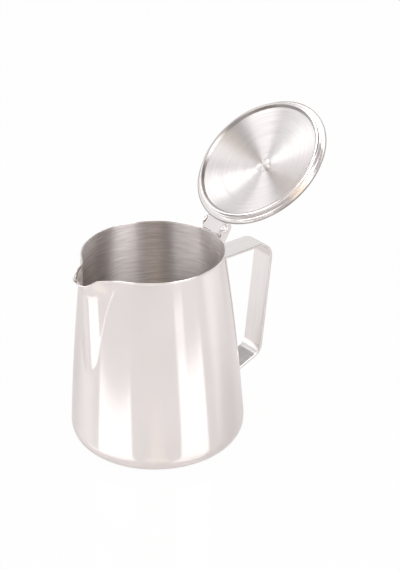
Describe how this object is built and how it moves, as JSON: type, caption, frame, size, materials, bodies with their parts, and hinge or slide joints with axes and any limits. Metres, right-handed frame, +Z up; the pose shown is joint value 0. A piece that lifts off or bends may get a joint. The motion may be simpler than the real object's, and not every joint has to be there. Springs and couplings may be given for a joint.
{
  "type": "hot milk jug with lid",
  "caption": "Tapered stainless steel milk jug with a pressed V spout, a bent strip handle and a domed lid hinged over the handle, shown open.",
  "frame": {"origin": "centre of the jug's round base, on the surface it stands on", "axes": "+Z up along the jug's axis, +X towards the handle and the hinge, -X towards the spout, +Y along the hinge pin"},
  "size_m": [0.1792, 0.11, 0.1939],
  "materials": {
    "jug_body": "mirror polished outside, brushed inside",
    "handle": "polished strip",
    "hinge_bracket": "polished",
    "hinge_pin": "polished",
    "lid": "circular brushed under, polished edge",
    "lid_leaf": "polished",
    "knob": "turned and polished",
    "knob_washer": "plain",
    "knob_screw": "polished"
  },
  "bodies": {
    "jug": {"jug_body": "jug_body", "handle": "handle", "hinge_bracket": "hinge_bracket", "hinge_pin": "hinge_pin"},
    "cover": {"lid": "lid", "lid_leaf": "lid_leaf", "knob": "knob", "knob_washer": "knob_washer", "knob_screw": "knob_screw"}
  },
  "joints": [
    {"name": "lid_hinge", "type": "hinge", "parent": "jug", "child": "cover", "pos_m": [0.049, 0, 0.13078], "axis": [0, 1, 0], "range_deg": [-140.6, 0]}
  ]
}
